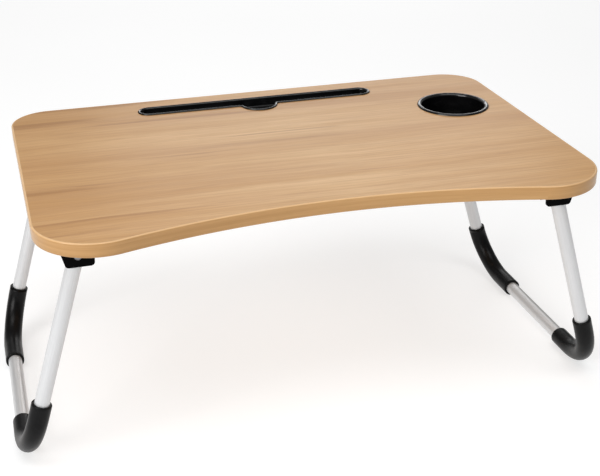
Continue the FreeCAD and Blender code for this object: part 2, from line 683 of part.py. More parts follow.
def build_tube(label, side):
    body = new_body("leg_tube_" + label)
    bar = "-leg_length"
    bend = "bend_radius - leg_length"
    front_bend = "bend_radius - front_upright"
    rear_bend = "rear_upright - bend_radius"
    path = new_sketch(body, label + "_tube_path", "YZ_Plane", signed(side, "tube_offset"))
    down = add_line(path, ("-front_upright", "-knuckle_drop"), ("-front_upright", bend))
    first = add_arc(path, front_bend, bend, "bend_radius", math.pi, math.pi * 1.5)
    along = add_line(path, (front_bend, bar), (rear_bend, bar))
    second = add_arc(path, rear_bend, bend, "bend_radius", math.pi * 1.5, math.pi * 2)
    rise = add_line(path, ("rear_upright", bend), ("rear_upright", "-knuckle_drop"))
    join_smooth(path, ((down, 2, first, 1), (first, 2, along, 1),
                       (along, 2, second, 1), (second, 2, rise, 1)))
    locate(path, down, 1, "-front_upright", "-knuckle_drop")
    arc_sizes(path, first, front_bend, bend, "bend_radius")
    arc_sizes(path, second, rear_bend, bend, "bend_radius")
    locate(path, rise, 2, "rear_upright", "-knuckle_drop")
    section = new_sketch(body, label + "_tube_section", "XY_Plane", "-knuckle_drop")
    add_circle(section, signed(side, "tube_offset"), "-front_upright", "tube_radius")
    add_circle(section, signed(side, "tube_offset"), "-front_upright",
               "tube_radius - tube_wall")
    sweep(body, label + "_tube_sweep", section, path)
    for name, end in ENDS:
        hole = new_sketch(body, "%s_%s_tube_hole" % (label, name), "XZ_Plane",
                          "-(%s) - tube_radius - 1" % upright(end))
        add_circle(hole, signed(side, "tube_offset"), "-small_screw_drop",
                   "small_screw_radius + fit_gap")
        pocket(body, "%s_%s_tube_hole_cut" % (label, name), hole, "tube_radius",
               upwards=True)
    place(body, signed(side, "pin_half_span"), "0", "pin_height",
          -side * value("leg_tilt"))


def build_sleeve(label, side, end):
    body = new_body("foot_sleeve_" + label)
    corner = upright(end)
    inwards = "+" if end < 0 else "-"
    name = "front" if end < 0 else "rear"
    raised = name + "_sleeve_up"
    bar = "-leg_length"
    bend = "bend_radius - leg_length"
    bend_y = "%s %s bend_radius" % (corner, inwards)
    stop_y = "%s %s %s_sleeve_along" % (corner, inwards, name)
    top = "%s - leg_length" % raised
    path = new_sketch(body, label + "_sleeve_path", "YZ_Plane", signed(side, "tube_offset"))
    down = add_line(path, (corner, top), (corner, bend))
    if end < 0:
        turn = add_arc(path, bend_y, bend, "bend_radius", math.pi, math.pi * 1.5)
        turn_start, turn_end = 1, 2
    else:
        turn = add_arc(path, bend_y, bend, "bend_radius", math.pi * 1.5, math.pi * 2)
        turn_start, turn_end = 2, 1
    along = add_line(path, (bend_y, bar), (stop_y, bar))
    join_smooth(path, ((down, 2, turn, turn_start), (turn, turn_end, along, 1)))
    locate(path, down, 1, corner, top)
    arc_sizes(path, turn, bend_y, bend, "bend_radius")
    locate(path, along, 2, stop_y, bar)
    section = new_sketch(body, label + "_sleeve_section", "XY_Plane", top)
    add_circle(section, signed(side, "tube_offset"), corner, "sleeve_radius")
    add_circle(section, signed(side, "tube_offset"), corner, "tube_radius + sleeve_gap")
    sweep(body, label + "_sleeve_sweep", section, path)
    place(body, signed(side, "pin_half_span"), "0", "pin_height",
          -side * value("leg_tilt"))


def check_document():
    doc.recompute()
    for item in doc.Objects:
        if "Invalid" in item.State or "Error" in item.State:
            raise RuntimeError("%s failed: %s" % (item.Label, item.State))
    for piece in pieces:
        if piece.Shape.isNull() or not piece.Shape.isValid():
            raise RuntimeError("%s has no valid shape" % piece.Label)


def write_pieces():
    os.makedirs("parts", exist_ok=True)
    for piece in pieces:
        piece.Shape.exportStep("parts/%s.step" % piece.Label)
        box = piece.Shape.BoundBox
        print("%-32s solids %d  volume %10.1f  x %7.1f..%7.1f  y %7.1f..%7.1f  z %6.1f..%6.1f" % (
            piece.Label, len(piece.Shape.Solids), piece.Shape.Volume,
            box.XMin, box.XMax, box.YMin, box.YMax, box.ZMin, box.ZMax))


fill_sheet()
build_core()
build_top_laminate()
build_bottom_laminate()
build_edge_band()
build_cup_holder()
build_tablet_tray()
for side_name, side_sign in SIDES:
    build_tube(side_name, side_sign)
    for end_name, end_sign in ENDS:
        corner_name = "%s_%s" % (side_name, end_name)
        build_bracket(corner_name, side_sign, end_sign)
        build_bracket_screws(corner_name, side_sign, end_sign)
        build_pin(corner_name, side_sign, end_sign)
        build_knuckle(corner_name, side_sign, end_sign)
        build_knuckle_screw(corner_name, side_sign, end_sign)
        build_sleeve(corner_name, side_sign, end_sign)
check_document()
write_pieces()
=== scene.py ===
import bmesh
import bpy
import json
import math
from mathutils import Matrix, Vector, noise


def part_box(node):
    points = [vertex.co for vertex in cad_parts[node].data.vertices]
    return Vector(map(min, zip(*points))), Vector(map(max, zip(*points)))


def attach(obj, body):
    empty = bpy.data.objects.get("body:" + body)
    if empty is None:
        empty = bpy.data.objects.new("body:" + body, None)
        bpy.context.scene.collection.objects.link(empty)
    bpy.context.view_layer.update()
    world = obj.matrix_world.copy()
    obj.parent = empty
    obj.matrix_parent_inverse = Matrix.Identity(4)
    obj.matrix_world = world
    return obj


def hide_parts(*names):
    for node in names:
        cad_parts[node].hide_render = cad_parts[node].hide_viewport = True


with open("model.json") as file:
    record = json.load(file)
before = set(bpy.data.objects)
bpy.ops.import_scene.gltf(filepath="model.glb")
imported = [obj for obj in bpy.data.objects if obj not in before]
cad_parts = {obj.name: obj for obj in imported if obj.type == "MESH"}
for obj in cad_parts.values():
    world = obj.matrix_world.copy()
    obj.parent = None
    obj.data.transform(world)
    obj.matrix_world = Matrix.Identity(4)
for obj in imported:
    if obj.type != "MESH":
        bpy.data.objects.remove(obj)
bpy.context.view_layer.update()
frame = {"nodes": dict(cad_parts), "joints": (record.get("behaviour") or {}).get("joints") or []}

nodes = frame["nodes"]
SIDES = (("left", -1), ("right", 1))
ENDS = (("front", -1), ("rear", 1))

# ---------------------------------------------------------------- sizes, in metres
# board
band_low, band_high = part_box("board_edge_band")
HALF_WIDTH = 0.300
HALF_DEPTH = 0.200
TOP = band_high[2]
BOTTOM = band_low[2]
REAR_RADIUS = 0.047
FRONT_RADIUS = 0.063
HOLLOW = 0.0337             # depth of the inward curve in the front edge
BAND = 0.002
BAND_ROUND = 0.0016
SEAM_WIDTH = 0.00024        # hairline groove between band and laminate
SEAM_DEPTH = 0.00010

# cup holder
CUP_X, CUP_Y = 0.2292, 0.075
CUP_RADIUS = 0.038
CUP_RIM = 0.044
CUP_DEPTH = 0.028
CUP_WALL = 0.002
CUP_CORNER = 0.003
CUP_STEPS = 128

# tablet tray
TRAY_HALF = 0.149
TRAY_FRONT = 0.1445
TRAY_REAR = 0.173
TRAY_DEPTH = 0.010
TRAY_UNDER = 0.0115         # underside of the tray's floor
NOTCH_Y = 0.1465
NOTCH_RADIUS = 0.023
NOTCH_ROUND = 0.003
CABLE_X, CABLE_RADIUS = 0.134, 0.008
CABLE_STEPS = 40

# legs
TILT = math.radians(16.7)   # lean of an open leg, outwards as it goes down
TUBE_RADIUS = 0.008
TUBE_BORE = 0.0068
TUBE_TOP_DROP = 0.009       # from the hinge pin down to the end of the tube
TUBE_STEPS = 48
SLEEVE_RADIUS = 0.011
SLEEVE_BORE = 0.00805
SLEEVE_ROUND = 0.0007
SLEEVE_PULL = 0.00016       # unevenness of the rubber's surface
SLEEVE_STEPS = 56
BEND = 0.056                # bend radius of the tube's centre line
UPRIGHT = {"front": -0.1429, "rear": 0.1608}        # y of the uprights' centre lines
SLEEVE_UP = {"front": 0.073, "rear": 0.0566}        # from the bar's centre line up
SLEEVE_ALONG = {"front": 0.081, "rear": 0.0895}     # from the upright's centre line inwards

# moulded hinge pieces and shading
BRACKET_EDGE = 0.0005       # width of their softened edges
KNUCKLE_EDGE = 0.0003
SOFT_ANGLE = math.radians(40)       # edges that turn by more than this are softened
SMOOTH_ANGLE = math.radians(32)     # faces that turn by less than this are shaded as one
SPLIT_GAP = 2e-6            # doubled vertices of a CAD mesh lie closer than this

QUARTER_TURN = [math.pi / 2 * step / 8 for step in range(9)]

# camera
CAMERA_PLACE = (-0.3287, -1.1685, TOP + 0.4536)
CAMERA_AZIMUTH, CAMERA_ELEVATION, CAMERA_ROLL = -16.15, 25.19, -0.29
CAMERA_LENS = 68.565        # millimetres, on a 36 mm wide sensor


# ---------------------------------------------------------------- material graphs
class Graph:
    """A Principled material under construction."""

    def __init__(self, name, roughness=0.5, metallic=0.0, specular=0.5, coat=0.0,
                 coat_roughness=0.1, anisotropy=0.0):
        self.material = bpy.data.materials.new(name)
        self.material.use_nodes = True
        self.tree = self.material.node_tree
        self.shader = self.tree.nodes["Principled BSDF"]
        self.shader.inputs["Roughness"].default_value = roughness
        self.shader.inputs["Metallic"].default_value = metallic
        self.shader.inputs["Specular IOR Level"].default_value = specular
        self.shader.inputs["Coat Weight"].default_value = coat
        self.shader.inputs["Coat Roughness"].default_value = coat_roughness
        self.shader.inputs["Anisotropic"].default_value = anisotropy

    def add(self, kind, inputs=None, **settings):
        node = self.tree.nodes.new(kind)
        for name, setting in settings.items():
            setattr(node, name, setting)
        for name, feed in (inputs or {}).items():
            if isinstance(feed, bpy.types.NodeSocket):
                self.tree.links.new(feed, node.inputs[name])
            else:
                node.inputs[name].default_value = feed
        return node

    def place(self, scale, uv=False, shift=(0, 0, 0)):
        """Coordinates in metres, stretched by a scale along each axis."""
        source = self.add("ShaderNodeTexCoord").outputs["UV" if uv else "Object"]
        return self.add("ShaderNodeMapping", {"Vector": source, "Scale": scale,
                                              "Location": shift}).outputs[0]

    def grain(self, vector, detail=3.0, roughness=0.5):
        return self.add("ShaderNodeTexNoise", {
            "Vector": vector, "Scale": 1.0, "Detail": detail,
            "Roughness": roughness}).outputs["Fac"]

    def ramp(self, factor, *stops):
        """Colours given as (position, colour) along a factor."""
        node = self.add("ShaderNodeValToRGB", {"Fac": factor})
        points = node.color_ramp.elements
        while len(points) < len(stops):
            points.new(0.5)
        for point, (position, tone) in zip(points, stops):
            point.position = position
            point.color = (*tone, 1.0)
        return node.outputs[0]

    def grey(self, factor, low, high, dark=0.0, light=1.0):
        """A grey that goes from dark to light as the factor goes from low to high."""
        return self.ramp(factor, (low, (dark, dark, dark)), (high, (light, light, light)))

    def mix(self, factor, first, second):
        node = self.add("ShaderNodeMix", data_type="RGBA")
        for index, feed in ((0, factor), (6, first), (7, second)):
            if isinstance(feed, bpy.types.NodeSocket):
                self.tree.links.new(feed, node.inputs[index])
            elif index == 0:
                node.inputs[index].default_value = feed
            else:
                node.inputs[index].default_value = (*feed, 1.0)
        return node.outputs[2]

    def math(self, operation, first, second):
        return self.add("ShaderNodeMath", {0: first, 1: second}, operation=operation).outputs[0]

    def colour(self, socket):
        self.tree.links.new(socket, self.shader.inputs["Base Color"])

    def rough(self, factor, low, high):
        """Roughness between two values as a factor goes from 0 to 1."""
        node = self.add("ShaderNodeMapRange", {"Value": factor, "To Min": low, "To Max": high})
        self.tree.links.new(node.outputs[0], self.shader.inputs["Roughness"])

    def bump(self, *heights):
        """Heights given as (socket, depth in metres), laid over each other."""
        normal = None
        for height, depth in heights:
            node = self.add("ShaderNodeBump", {"Height": height, "Strength": 1.0,
                                               "Distance": depth})
            if normal:
                self.tree.links.new(normal, node.inputs["Normal"])
            normal = node.outputs[0]
        self.tree.links.new(normal, self.shader.inputs["Normal"])


def wood_top():
    """Printed beech laminate: soft bands, dark streaks and fine pores, all running along X."""
    g = Graph("wood_top", specular=0.32, coat=0.05, coat_roughness=0.30)
    sway = g.grain(g.place((1.6, 7.0, 1.0)), detail=2.0)
    shift = g.math("MULTIPLY", g.math("SUBTRACT", sway, 0.5), 0.034)
    base = g.add("ShaderNodeTexCoord").outputs["Object"]
    bend = g.add("ShaderNodeCombineXYZ", {"Y": shift}).outputs[0]
    warped = g.add("ShaderNodeVectorMath", {0: base, 1: bend}, operation="ADD").outputs[0]

    def along(scale, shift=(0, 0, 0)):
        return g.add("ShaderNodeMapping", {"Vector": warped, "Scale": scale,
                                           "Location": shift}).outputs[0]

    bands = g.grain(along((1.1, 15.0, 1.0)), detail=3.0, roughness=0.5)
    streaks = g.grain(along((3.0, 70.0, 1.0), (3.1, 0.7, 0)), detail=4.0, roughness=0.55)
    lines = g.grain(along((2.2, 46.0, 1.0), (11.7, 4.4, 0)), detail=5.0, roughness=0.6)
    grain = g.grain(along((7.0, 230.0, 1.0), (5.1, 2.6, 0)), detail=4.0, roughness=0.62)
    fibres = g.grain(along((16.0, 560.0, 1.0), (7.3, 1.9, 0)), detail=2.0)
    pores = g.grain(along((42.0, 1500.0, 1.0), (1.3, 8.4, 0)), detail=1.0)
    cloud = g.grain(g.place((1.5, 2.2, 1.0), shift=(2.0, 5.0, 0)), detail=1.0)
    across = g.add("ShaderNodeSeparateXYZ", {"Vector": base}).outputs["X"]
    ends = g.math("MULTIPLY", g.math("ABSOLUTE", g.math("SUBTRACT", across, 0.03), 0.0), 1.7)
    warmth = g.math("ADD", g.math("SUBTRACT", ends, 0.20), cloud)
    marks = g.math("SUBTRACT", lines, g.math("MULTIPLY", g.math("ADD", across, 0.13), 0.26))
    tone = g.ramp(bands, (0.33, (0.395, 0.205, 0.076)), (0.46, (0.535, 0.315, 0.138)),
                  (0.60, (0.665, 0.430, 0.212)))
    tone = g.mix(g.grey(warmth, 0.36, 0.74, 0.0, 0.62), tone, (0.510, 0.268, 0.094))
    tone = g.mix(g.grey(streaks, 0.46, 0.74, 0.0, 0.40), tone, (0.440, 0.218, 0.058))
    tone = g.mix(g.grey(grain, 0.46, 0.66, 0.0, 0.34), tone, (0.415, 0.208, 0.060))
    tone = g.mix(g.grey(marks, 0.59, 0.67, 0.0, 0.66), tone, (0.300, 0.134, 0.036))
    tone = g.mix(g.grey(fibres, 0.42, 0.64, 0.0, 0.34), tone, (0.385, 0.194, 0.060))
    tone = g.mix(g.grey(pores, 0.58, 0.72, 0.0, 0.22), tone, (0.260, 0.135, 0.055))
    g.colour(tone)
    g.rough(streaks, 0.34, 0.44)
    g.bump((fibres, 0.00006), (pores, 0.00005))
    return g.material


def wood_edge():
    """Edge band: the same wood print running along the band, a little deeper in tone, with a
    painted highlight along its rounded top edge.
    """
    g = Graph("wood_edge", specular=0.25, coat=0.22, coat_roughness=0.12)
    streaks = g.grain(g.place((3.0, 160.0, 1.0), uv=True), detail=4.0)
    fibres = g.grain(g.place((24.0, 1400.0, 1.0), uv=True, shift=(5, 2, 0)), detail=2.0)
    patches = g.grain(g.place((2.2, 18.0, 1.0), uv=True, shift=(1, 7, 0)), detail=2.0)
    tone = g.ramp(streaks, (0.32, (0.400, 0.214, 0.076)), (0.52, (0.462, 0.258, 0.099)),
                  (0.70, (0.505, 0.295, 0.122)))
    tone = g.mix(g.grey(patches, 0.40, 0.65, 0.0, 0.30), tone, (0.440, 0.235, 0.080))
    tone = g.mix(g.grey(fibres, 0.45, 0.70, 0.0, 0.25), tone, (0.310, 0.160, 0.058))
    # Painted highlight: the colour turns paler towards the band's rounded top edge, from 1.3 mm
    # to 0.3 mm below the top.
    height = g.add("ShaderNodeSeparateXYZ", {
        "Vector": g.add("ShaderNodeTexCoord").outputs["Object"]}).outputs["Z"]
    painted_highlight_line = g.add("ShaderNodeMapRange", {"Value": height, "From Min": TOP - 0.0013,
                                         "From Max": TOP - 0.0003}).outputs[0]
    tone = g.mix(g.math("MULTIPLY", painted_highlight_line, 0.55), tone, (0.860, 0.580, 0.320))
    g.colour(tone)
    g.rough(streaks, 0.30, 0.42)
    g.bump((fibres, 0.00005))
    return g.material


def fibreboard():
    g = Graph("fibreboard", roughness=0.85, specular=0.2)
    flecks = g.grain(g.place((900, 900, 500)), detail=3.0)
    layers = g.grain(g.place((60, 60, 420), shift=(3, 1, 0)), detail=2.0)
    tone = g.ramp(flecks, (0.35, (0.300, 0.190, 0.100)), (0.65, (0.470, 0.320, 0.185)))
    g.colour(g.mix(g.grey(layers, 0.4, 0.6, 0.0, 0.35), tone, (0.360, 0.235, 0.125)))
    g.bump((flecks, 0.00015))
    return g.material


def gloss_plastic():
    """Injection-moulded black inserts, smooth with faint handling marks."""
    g = Graph("insert_black", specular=0.36, coat=0.22, coat_roughness=0.05)
    smudge = g.grain(g.place((38, 38, 38)), detail=4.0, roughness=0.65)
    fine = g.grain(g.place((1400, 1400, 1400)), detail=2.0)
    scratch = g.grain(g.place((60, 900, 300), shift=(4, 4, 0)), detail=2.0)
    g.colour(g.ramp(smudge, (0.35, (0.0012, 0.0012, 0.0013)), (0.7, (0.0028, 0.0028, 0.0031))))
    g.rough(g.math("ADD", g.math("MULTIPLY", smudge, 0.7), g.math("MULTIPLY", scratch, 0.3)),
            0.10, 0.30)
    g.bump((fine, 0.000010), (smudge, 0.00004))
    return g.material


def hinge_plastic():
    """Black nylon with a fine eroded mould texture and worn corners."""
    g = Graph("hinge_black", specular=0.025)
    speck = g.grain(g.place((2600, 2600, 2600)), detail=2.0)
    flow = g.grain(g.place((70, 70, 70), shift=(6, 2, 1)), detail=3.0)
    edges = g.add("ShaderNodeNewGeometry").outputs["Pointiness"]
    tone = g.ramp(flow, (0.35, (0.0010, 0.0010, 0.0011)), (0.7, (0.0024, 0.0024, 0.0026)))
    tone = g.mix(g.grey(edges, 0.53, 0.62, 0.0, 0.30), tone, (0.010, 0.010, 0.011))
    g.colour(tone)
    g.rough(flow, 0.40, 0.58)
    g.bump((speck, 0.00004))
    return g.material


def drawn_tube():
    """Satin anodised tube: fine drawing lines run along it, u round and v along in metres."""
    g = Graph("tube_silver", metallic=0.42, specular=0.5, anisotropy=0.35)
    drawn = g.grain(g.place((2600.0, 14.0, 1.0), uv=True), detail=3.0)
    cloud = g.grain(g.place((40.0, 9.0, 1.0), uv=True, shift=(2, 5, 0)), detail=3.0)
    rub = g.grain(g.place((160.0, 55.0, 1.0), uv=True, shift=(8, 1, 0)), detail=5.0,
                  roughness=0.7)
    tone = g.ramp(drawn, (0.30, (0.570, 0.573, 0.580)), (0.70, (0.680, 0.683, 0.688)))
    tone = g.mix(g.grey(cloud, 0.40, 0.65, 0.0, 0.30), tone, (0.610, 0.614, 0.624))
    tone = g.mix(g.grey(rub, 0.66, 0.78, 0.0, 0.25), tone, (0.460, 0.460, 0.465))
    g.colour(tone)
    g.rough(g.math("ADD", g.math("MULTIPLY", drawn, 0.5), g.math("MULTIPLY", cloud, 0.5)),
            0.26, 0.44)
    g.bump((drawn, 0.00002))
    return g.material


def foam_rubber():
    """Dark closed-cell rubber sleeve: soft sheen, fine cell texture, light rubbing."""
    g = Graph("sleeve_grey", specular=0.13)
    cells = g.add("ShaderNodeTexVoronoi", {"Vector": g.place((1900, 1900, 1900)),
                                           "Scale": 1.0}).outputs["Distance"]
    skin = g.grain(g.place((260, 260, 260)), detail=4.0, roughness=0.6)
    rub = g.grain(g.place((46, 46, 46), shift=(3, 3, 3)), detail=3.0)
    tone = g.ramp(rub, (0.32, (0.0022, 0.0022, 0.0024)), (0.70, (0.0050, 0.0050, 0.0053)))
    tone = g.mix(g.grey(skin, 0.50, 0.75, 0.0, 0.40), tone, (0.0110, 0.0110, 0.0116))
    g.colour(tone)
    g.rough(rub, 0.26, 0.38)
    g.bump((skin, 0.00010), (cells, 0.00003))
    return g.material


def steel(name, low, high, tint):
    g = Graph(name, metallic=1.0)
    spots = g.grain(g.place((700, 700, 700)), detail=3.0)
    haze = g.grain(g.place((120, 120, 120), shift=(2, 1, 5)), detail=2.0)
    dark = tuple(channel * 0.78 for channel in tint)
    g.colour(g.mix(g.grey(haze, 0.35, 0.7), dark, tint))
    g.rough(spots, low, high)
    g.bump((spots, 0.00002))
    return g.material


def floor_paint():
    g = Graph("floor_pale", roughness=0.7, specular=0.2)
    g.shader.inputs["Emission Color"].default_value = (1, 1, 1, 1)
    g.shader.inputs["Emission Strength"].default_value = 0.62
    wash = g.grain(g.place((1.2, 1.2, 1.2)), detail=2.0)
    g.colour(g.ramp(wash, (0.3, (0.44, 0.44, 0.44)), (0.7, (0.46, 0.46, 0.46))))
    return g.material


WOOD = wood_top()
EDGE = wood_edge()
CORE = fibreboard()
INSERT = gloss_plastic()
HINGE = hinge_plastic()
TUBE = drawn_tube()
SLEEVE = foam_rubber()
PIN = steel("pin_bright", 0.30, 0.46, (0.30, 0.30, 0.31))
SCREW = steel("screw_zinc", 0.24, 0.42, (0.60, 0.60, 0.62))


# ---------------------------------------------------------------- mesh helpers
def skin(name, rings, material, closed_along=False, start_cap=False, end_cap=False):
    """Quads between rings of equal point count; u runs round a ring, v from ring to ring."""
    mesh = bpy.data.meshes.new(name)
    bm = bmesh.new()
    uv = bm.loops.layers.uv.new("UVMap")
    grid = [[bm.verts.new(point) for point in ring] for ring in rings]
    count = len(rings[0])
    around = [0.0]
    widest = max(rings, key=lambda ring: sum(
        (ring[i] - ring[i - 1]).length for i in range(count)))
    for index in range(count):
        step = (widest[(index + 1) % count] - widest[index]).length
        around.append(around[-1] + step)
    lift = [0.0]
    for before, after in zip(rings, rings[1:] + rings[:1]):
        lift.append(lift[-1] + (after[0] - before[0]).length)
    last = len(rings) if closed_along else len(rings) - 1
    for row in range(last):
        lower = grid[row]
        upper = grid[(row + 1) % len(rings)]
        for column in range(count):
            following = (column + 1) % count
            face = bm.faces.new((lower[column], lower[following],
                                 upper[following], upper[column]))
            face.smooth = True
            places = ((around[column], lift[row]), (around[column + 1], lift[row]),
                      (around[column + 1], lift[row + 1]), (around[column], lift[row + 1]))
            for loop, place in zip(face.loops, places):
                loop[uv].uv = place
    if start_cap:
        bm.faces.new(list(reversed(grid[0])))
    if end_cap:
        bm.faces.new(grid[-1])
    bmesh.ops.recalc_face_normals(bm, faces=bm.faces)
    bm.to_mesh(mesh)
    bm.free()
    piece = bpy.data.objects.new(name, mesh)
    bpy.context.scene.collection.objects.link(piece)
    mesh.materials.append(material)
    return piece


def stands_for(piece, body, slot, *names):
    """Ride a piece on its body in place of the CAD nodes it is the finished look of."""
    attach(piece, body)
    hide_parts(*names)


def circle(cx, cy, radius, height, steps):
    """Level ring of points."""
    return [Vector((cx + radius * math.cos(a), cy + radius * math.sin(a), height))
            for a in (2 * math.pi * i / steps for i in range(steps))]


def arc(cx, cy, radius, start, finish, steps):
    return [(cx + radius * math.cos(start + (finish - start) * i / steps),
             cy + radius * math.sin(start + (finish - start) * i / steps))
            for i in range(steps + 1)]


def run(start, finish, steps):
    """Points strictly between two ends."""
    return [(start[0] + (finish[0] - start[0]) * i / steps,
             start[1] + (finish[1] - start[1]) * i / steps) for i in range(1, steps)]


def board_ring(inset, height):
    """Board edge at one inset and height, anticlockwise from the front right corner."""
    dx = HALF_WIDTH - FRONT_RADIUS
    hollow_radius = ((dx ** 2 + (FRONT_RADIUS - HOLLOW) ** 2 - FRONT_RADIUS ** 2)
                     / (2 * HOLLOW))
    fy = FRONT_RADIUS - HALF_DEPTH
    hy = HOLLOW - HALF_DEPTH - hollow_radius
    lean = math.atan2(fy - hy, dx)
    rx = HALF_WIDTH - REAR_RADIUS
    ry = HALF_DEPTH - REAR_RADIUS
    front = FRONT_RADIUS - inset
    rear = REAR_RADIUS - inset
    flat = arc(dx, fy, front, lean - math.pi, 0, 40)
    flat += run((dx + front, fy), (rx + rear, ry), 12)
    flat += arc(rx, ry, rear, 0, math.pi / 2, 28)
    flat += run((rx, ry + rear), (-rx, ry + rear), 24)
    flat += arc(-rx, ry, rear, math.pi / 2, math.pi, 28)
    flat += run((-rx - rear, ry), (-dx - front, fy), 12)
    flat += arc(-dx, fy, front, math.pi, 2 * math.pi - lean, 40)
    flat += arc(0, hy, hollow_radius + inset, math.pi - lean, lean, 90)[1:-1]
    return [Vector((x, y, height)) for x, y in flat]


def tray_ring(inset, height):
    """Outline of the tray at one inset and height above the board's surface."""
    mid = (TRAY_FRONT + TRAY_REAR) / 2
    radius = (TRAY_REAR - TRAY_FRONT) / 2 - inset
    end = TRAY_HALF - (TRAY_REAR - TRAY_FRONT) / 2
    shoulder_y = TRAY_FRONT - NOTCH_ROUND
    reach = NOTCH_RADIUS + NOTCH_ROUND
    shoulder_x = math.sqrt(reach ** 2 - (NOTCH_Y - shoulder_y) ** 2)
    bend = math.atan2(NOTCH_Y - shoulder_y, -shoulder_x)
    front = TRAY_FRONT + inset
    rear = TRAY_REAR - inset
    rounding = NOTCH_ROUND + inset
    flat = arc(end, mid, radius, -math.pi / 2, math.pi / 2, 28)
    flat += run((end, rear), (-end, rear), 30)
    flat += arc(-end, mid, radius, math.pi / 2, math.pi * 1.5, 28)
    flat += run((-end, front), (-shoulder_x, front), 12)
    flat += arc(-shoulder_x, shoulder_y, rounding, math.pi / 2, math.pi - bend, 8)
    flat += arc(0, NOTCH_Y, NOTCH_RADIUS - inset, -bend, bend - math.pi, 30)[1:-1]
    flat += arc(shoulder_x, shoulder_y, rounding, bend, math.pi / 2, 8)
    flat += run((shoulder_x, front), (end, front), 12)
    return [Vector((x, y, TOP + height)) for x, y in flat]


# ---------------------------------------------------------------- CAD nodes
def finish_cad(name, material, bevel=0.0):
    """Give a carried-over CAD node its material, and softened edges or smooth curved faces."""
    part = nodes[name]
    part.data.materials.clear()
    part.data.materials.append(material)
    part.data.polygons.foreach_set("use_smooth", [True] * len(part.data.polygons))
    if bevel:
        soften_edges(part, bevel)
    else:
        mark_sharp_edges(part.data)


def soften_edges(part, width):
    """Bevel by modifiers; the weld comes first, because a bevel needs faces that share edges."""
    joined = part.modifiers.new("joined_faces", "WELD")
    joined.merge_threshold = SPLIT_GAP
    soft = part.modifiers.new("soft_edges", "BEVEL")
    soft.width = width
    soft.segments = 2
    soft.limit_method = "ANGLE"
    soft.angle_limit = SOFT_ANGLE
    even = part.modifiers.new("even_faces", "WEIGHTED_NORMAL")
    even.mode = "FACE_AREA"
    even.weight = 90


def mark_sharp_edges(mesh):
    """Keep an edge crisp where the faces of a smooth-shaded mesh turn by a large angle."""
    bm = bmesh.new()
    bm.from_mesh(mesh)
    for edge in bm.edges:
        if len(edge.link_faces) == 2:
            edge.smooth = edge.calc_face_angle(0.0) < SMOOTH_ANGLE
    sharp = [not edge.smooth for edge in bm.edges]
    bm.free()
    for edge, hard in zip(mesh.edges, sharp):
        edge.use_edge_sharp = hard


# ---------------------------------------------------------------- board
def build_band():
    """Edge band with rounded corners and a hairline seam where it meets the laminate."""
    drop = TOP - BOTTOM
    section = [(BAND, 0.0), (BAND - SEAM_WIDTH / 2, -SEAM_DEPTH), (BAND - SEAM_WIDTH, 0.0)]
    section += [(BAND_ROUND * (1 - math.sin(turn)), -BAND_ROUND * (1 - math.cos(turn)))
                for turn in QUARTER_TURN]
    section += [(0.0, -drop * 0.35), (0.0, -drop * 0.65)]
    section += [(BAND_ROUND * (1 - math.cos(turn)), BAND_ROUND * (1 - math.sin(turn)) - drop)
                for turn in QUARTER_TURN]
    section.append((BAND, -drop))
    rings = [board_ring(inset, TOP + height) for inset, height in section]
    band = skin("edge_band", rings, EDGE, closed_along=True)
    stands_for(band, "top", "edge_banding", "board_edge_band")


def build_cup():
    """Cup with two raised rings on its floor and a rounded rim that stands on the board."""
    inside = CUP_RADIUS
    outside = CUP_RADIUS + CUP_WALL
    floor = -CUP_DEPTH
    under = -CUP_DEPTH - CUP_WALL
    centre = 0.00005
    section = [(centre, floor)]
    for ridge in (0.012, 0.022):
        section += [(ridge, floor), (ridge + 0.0004, floor + 0.0004),
                    (ridge + 0.0012, floor + 0.0004), (ridge + 0.0016, floor)]
    section += [(inside - CUP_CORNER * (1 - math.sin(turn)),
                 floor + CUP_CORNER * (1 - math.cos(turn))) for turn in QUARTER_TURN]
    section += [(inside, -0.012), (inside, -0.0010), (inside + 0.0002, 0.0001),
                (inside + 0.0007, 0.0009), (inside + 0.0014, 0.0015),
                (inside + 0.0022, 0.0019), (inside + 0.0030, 0.0020),
                (inside + 0.0040, 0.0020), (inside + 0.0048, 0.0018),
                (inside + 0.0054, 0.0013), (inside + 0.0058, 0.0006),
                (CUP_RIM, 0.0), (CUP_RIM, -0.0006), (outside, -0.0006),
                (outside, under + 0.001), (outside - 0.001, under), (centre, under)]
    rings = [circle(CUP_X, CUP_Y, radius, TOP + height, CUP_STEPS)
             for radius, height in section]
    cup = skin("cup_insert", rings, INSERT, start_cap=True, end_cap=True)
    stands_for(cup, "top", "insert_plastic", "cup_holder")


def build_tray():
    """Trough with a rounded rim that stands on the board, listed from below to the inside."""
    section = [(0.0050, -TRAY_UNDER), (0.0032, -TRAY_UNDER), (0.0025, 0.0006 - TRAY_UNDER),
               (0.0025, -0.0008), (0.0001, -0.0008), (0.0, -0.0006), (0.0, 0.0004),
               (0.0002, 0.0009), (0.0007, 0.0014), (0.0013, 0.0016), (0.0019, 0.0016),
               (0.0027, 0.0014), (0.0034, 0.0009), (0.0038, 0.0003), (0.0040, -0.0005),
               (0.0040, 0.0008 - TRAY_DEPTH), (0.0042, 0.0003 - TRAY_DEPTH),
               (0.0045, 0.00005 - TRAY_DEPTH), (0.0050, -TRAY_DEPTH)]
    rings = [tray_ring(inset, height) for inset, height in section]
    tray = skin("tray_insert", rings, INSERT)
    add_tray_floor(tray.data)
    stands_for(tray, "top", "insert_plastic", "tablet_tray")


